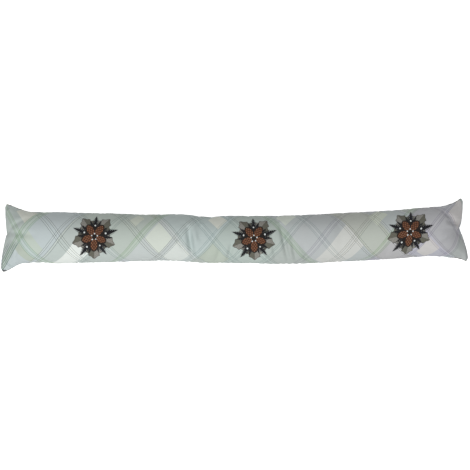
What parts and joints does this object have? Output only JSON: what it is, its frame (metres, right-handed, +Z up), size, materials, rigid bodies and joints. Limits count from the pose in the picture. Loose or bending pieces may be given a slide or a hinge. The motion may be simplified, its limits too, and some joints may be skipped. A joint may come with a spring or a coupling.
{
  "type": "draught excluder",
  "caption": "Long stuffed cloth draught excluder, nearly round, with flat sewn ends whose corners stand out as ears, in a pale sage, cream and blue plaid.",
  "frame": {"origin": "middle of the footprint of the whole case, on the floor it lies on", "axes": "+X along the case, +Y across it to its far long seam, +Z up"},
  "size_m": [0.9, 0.1414, 0.091],
  "materials": {
    "printed_cotton": "matt printed cotton"
  },
  "bodies": {
    "root": {"stuffed_case": "printed_cotton"}
  },
  "joints": []
}
